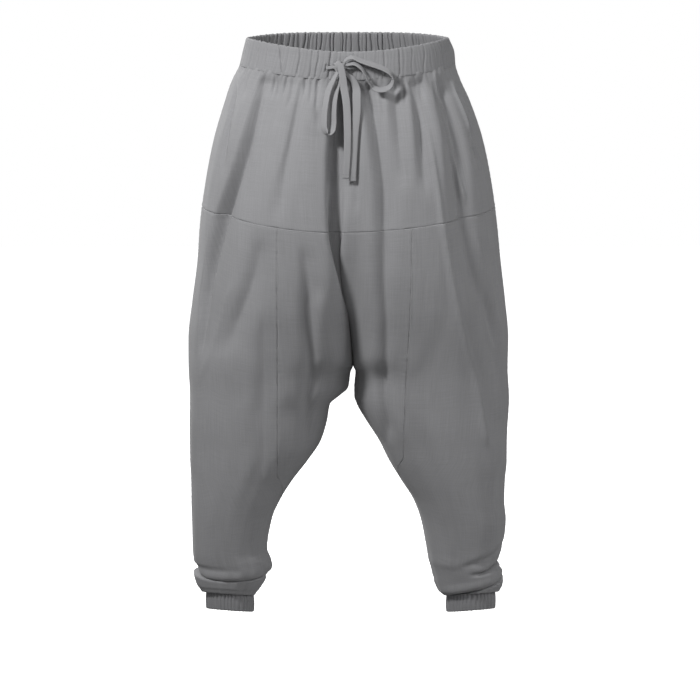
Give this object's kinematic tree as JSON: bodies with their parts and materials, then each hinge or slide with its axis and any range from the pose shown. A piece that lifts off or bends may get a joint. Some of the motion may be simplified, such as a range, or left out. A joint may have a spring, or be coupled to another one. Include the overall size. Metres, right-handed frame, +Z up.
{
  "type": "drop-crotch harem trousers",
  "caption": "Drop-crotch harem trousers in plain grey woven cloth, filled out as worn, with gathered elastic waistband, tied drawstring, hip yoke and gathered ankle cuffs.",
  "frame": {"origin": "middle of the waist, level with the upper part of the waistband's front", "axes": "+Z up, the front faces -Y, the wearer's left leg is at +X"},
  "size_m": [0.529, 0.3309, 0.9691],
  "materials": {
    "cloth": "plain-woven linen and cotton, matt, mid grey",
    "tape": "flat sewn drawstring of the same cloth, matt, mid grey"
  },
  "bodies": {
    "root": {"waistband": "cloth", "yoke_front": "cloth", "yoke_back": "cloth", "centre_panel_front": "cloth", "centre_panel_back": "cloth", "leg_front_right": "cloth", "leg_front_left": "cloth", "leg_back_right": "cloth", "leg_back_left": "cloth", "cuff_right": "cloth", "cuff_left": "cloth", "drawstring_lead_right": "tape", "drawstring_lead_left": "tape", "drawstring_knot": "tape", "drawstring_loop_right": "tape", "drawstring_loop_left": "tape", "drawstring_tail_front": "tape", "drawstring_tail_behind": "tape"}
  },
  "joints": []
}
